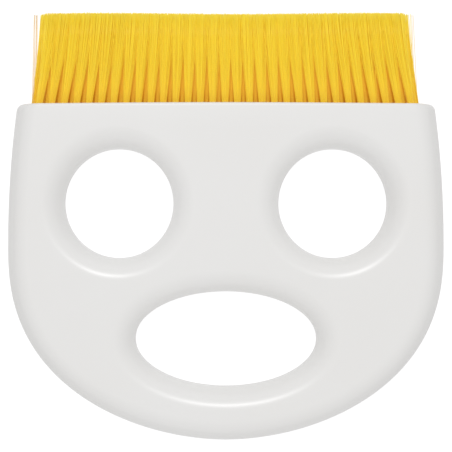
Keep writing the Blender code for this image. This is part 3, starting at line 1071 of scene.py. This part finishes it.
tuftTree = makeTuftColumn()
for column, node in enumerate(tuftNodes):
    values = {
        **placeValues, "Columns": 1, "First Column": column, "Tip Y": tipY - tuft["tipClear"],
        "Finish": yellowNylon}
    values.update({title: tuft[key] for title, _, key in tuftInputs})
    name = "tuftColumn%02d" % (column + 1)
    item = grow(name, bpy.data.meshes.new(name), tuftTree, values)
    dropHelperAttributes(item.data, ("tone", "open", "amberGlow", "loose", "along"))
    item.data.shade_smooth()
    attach(item, "root")
    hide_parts(node)
print("tufts made:", len(tuftNodes), "columns")

stage = {
    "floorSize": 8.0,
    "floorGlow": 0.88,
    "floorColour": (0.22, 0.22, 0.22, 1.0),
    "floorRoughness": 0.9,
    "floorSheen": (0.70, 0.70, 0.70, 1.0),
    "floorAway": (0.30, 0.30, 0.30, 1.0),
    "floorFar": (0.72, 0.72, 0.72, 1.0),
    "floorDrop": 0.0001,
    "pool": (0.15, 0.30),
    "poolScale": (1.5, 1.0, 0.0),
    "sweepScale": (1.0, 1.0, 0.0),
    "sweep": (0.16, 1.20),
    "backdrop": 0.80,
    "skyTop": 0.725,
    "skyMiddle": 1.165,
    "skyHorizon": 0.25,
    "hazeHeight": 0.30,
    "skyEnds": 0.26,
    "keyDistance": 3.0,
    "keyLean": 21.5,
    "keySide": -1.2,
    "keyWidth": 0.60,
    "keyHeight": 0.60,
    "keyRadiance": 17.5,
    "cameraDistance": 0.650,
    "viewWidth": 0.2086,
    "viewCentre": (0.00005, 0.00027),
    "sensor": 36.0,
    "nearClip": 0.01,
}
white = (1.0, 1.0, 1.0, 1.0)


def makeFloor():
    shape = bmesh.new()
    half = stage["floorSize"] / 2
    corners = [shape.verts.new((x, y, -stage["floorDrop"])) for x, y in (
        (-half, -half), (half, -half), (half, half), (-half, half))]
    shape.faces.new(corners)
    floor = objectFrom("floor", shape)
    material = bpy.data.materials.new("glowingFloor")
    material.use_nodes = True
    tree = material.node_tree
    shader = tree.nodes["Principled BSDF"]
    shader.inputs["Base Color"].default_value = stage["floorColour"]
    shader.inputs["Roughness"].default_value = stage["floorRoughness"]
    shader.inputs["Specular IOR Level"].default_value = 0.0
    place = addNode(tree, "ShaderNodeTexCoord").outputs["Object"]
    sheets = []
    for scale, (first, last), colour in (
            (stage["poolScale"], stage["pool"], stage["floorAway"]),
            (stage["sweepScale"], stage["sweep"], stage["floorFar"])):
        scaled = addNode(tree, "ShaderNodeVectorMath", {0: place, 1: scale}, operation="MULTIPLY")
        away = addNode(tree, "ShaderNodeVectorMath", {0: scaled.outputs[0]}, operation="LENGTH")
        fade = addNode(tree, "ShaderNodeMapRange", {
            "Value": away.outputs["Value"], "From Min": first, "From Max": last},
            interpolation_type="SMOOTHSTEP")
        sheets.append(mixColours(tree, fade.outputs["Result"], white, colour))
    # The floor glows as a light: the camera sees a white sheet that fades to grey far out, a
    # painted pool of light; the broom is lit by a glowing pool round it, and reflections show the
    # floor a dimmer grey
    rays = addNode(tree, "ShaderNodeLightPath")
    shown = mixColours(tree, rays.outputs["Is Camera Ray"], *sheets)
    seen = mixColours(tree, rays.outputs["Is Glossy Ray"], shown, stage["floorSheen"])
    feed(tree, shader.inputs["Emission Color"], seen)
    shader.inputs["Emission Strength"].default_value = stage["floorGlow"]
    floor.data.materials.append(material)


def makeSky():
    world = bpy.data.worlds.new("studioTent")
    bpy.context.scene.world = world
    world.use_nodes = True
    tree = world.node_tree
    backdrop = tree.nodes["Background"]
    direction = addNode(tree, "ShaderNodeTexCoord").outputs["Generated"]
    split = addNode(tree, "ShaderNodeSeparateXYZ", {"Vector": direction})
    low = addNode(tree, "ShaderNodeMapRange", {
        "Value": split.outputs["Z"], "From Min": 0.0, "From Max": stage["hazeHeight"],
        "To Min": stage["skyHorizon"], "To Max": stage["skyMiddle"]},
        interpolation_type="SMOOTHSTEP")
    level = calc(tree, "MULTIPLY_ADD", split.outputs["Z"], stage["skyTop"] - stage["skyMiddle"],
                 low.outputs["Result"])
    ends = calc(tree, "SUBTRACT", calc(tree, "ABSOLUTE", split.outputs["Y"]),
                calc(tree, "ABSOLUTE", split.outputs["X"]))
    level = calc(tree, "MAXIMUM", calc(tree, "MULTIPLY_ADD", ends, stage["skyEnds"], level), 0.0)
    # The camera sees a plain pale backdrop
    rays = addNode(tree, "ShaderNodeLightPath")
    shown = addNode(tree, "ShaderNodeMix", {
        "Factor": rays.outputs["Is Camera Ray"], "A": level, "B": stage["backdrop"]},
        data_type="FLOAT")
    feed(tree, backdrop.inputs["Strength"], shown.outputs["Result"])
    backdrop.inputs["Color"].default_value = white


def makeKeyLight():
    lean = math.radians(stage["keyLean"])
    aside = math.radians(stage["keySide"])
    toLight = Vector((math.sin(aside), math.sin(lean), math.cos(lean))).normalized()
    data = bpy.data.lights.new("keySoftbox", "AREA")
    data.shape = "RECTANGLE"
    data.size = stage["keyWidth"]
    data.size_y = stage["keyHeight"]
    data.energy = stage["keyRadiance"] * math.pi * data.size * data.size_y
    light = bpy.data.objects.new("keySoftbox", data)
    bpy.context.scene.collection.objects.link(light)
    light.location = toLight * stage["keyDistance"]
    light.rotation_euler = toLight.to_track_quat("Z", "Y").to_euler()


def makeCamera():
    data = bpy.data.cameras.new("camera")
    data.type = "PERSP"
    data.sensor_width = stage["sensor"]
    data.lens = stage["sensor"] * stage["cameraDistance"] / stage["viewWidth"]
    data.clip_start = stage["nearClip"]
    camera = bpy.data.objects.new("camera", data)
    bpy.context.scene.collection.objects.link(camera)
    camera.location = (*stage["viewCentre"], middleZ + stage["cameraDistance"])
    bpy.context.scene.camera = camera


makeFloor()
makeSky()
makeKeyLight()
makeCamera()
print("stage set")
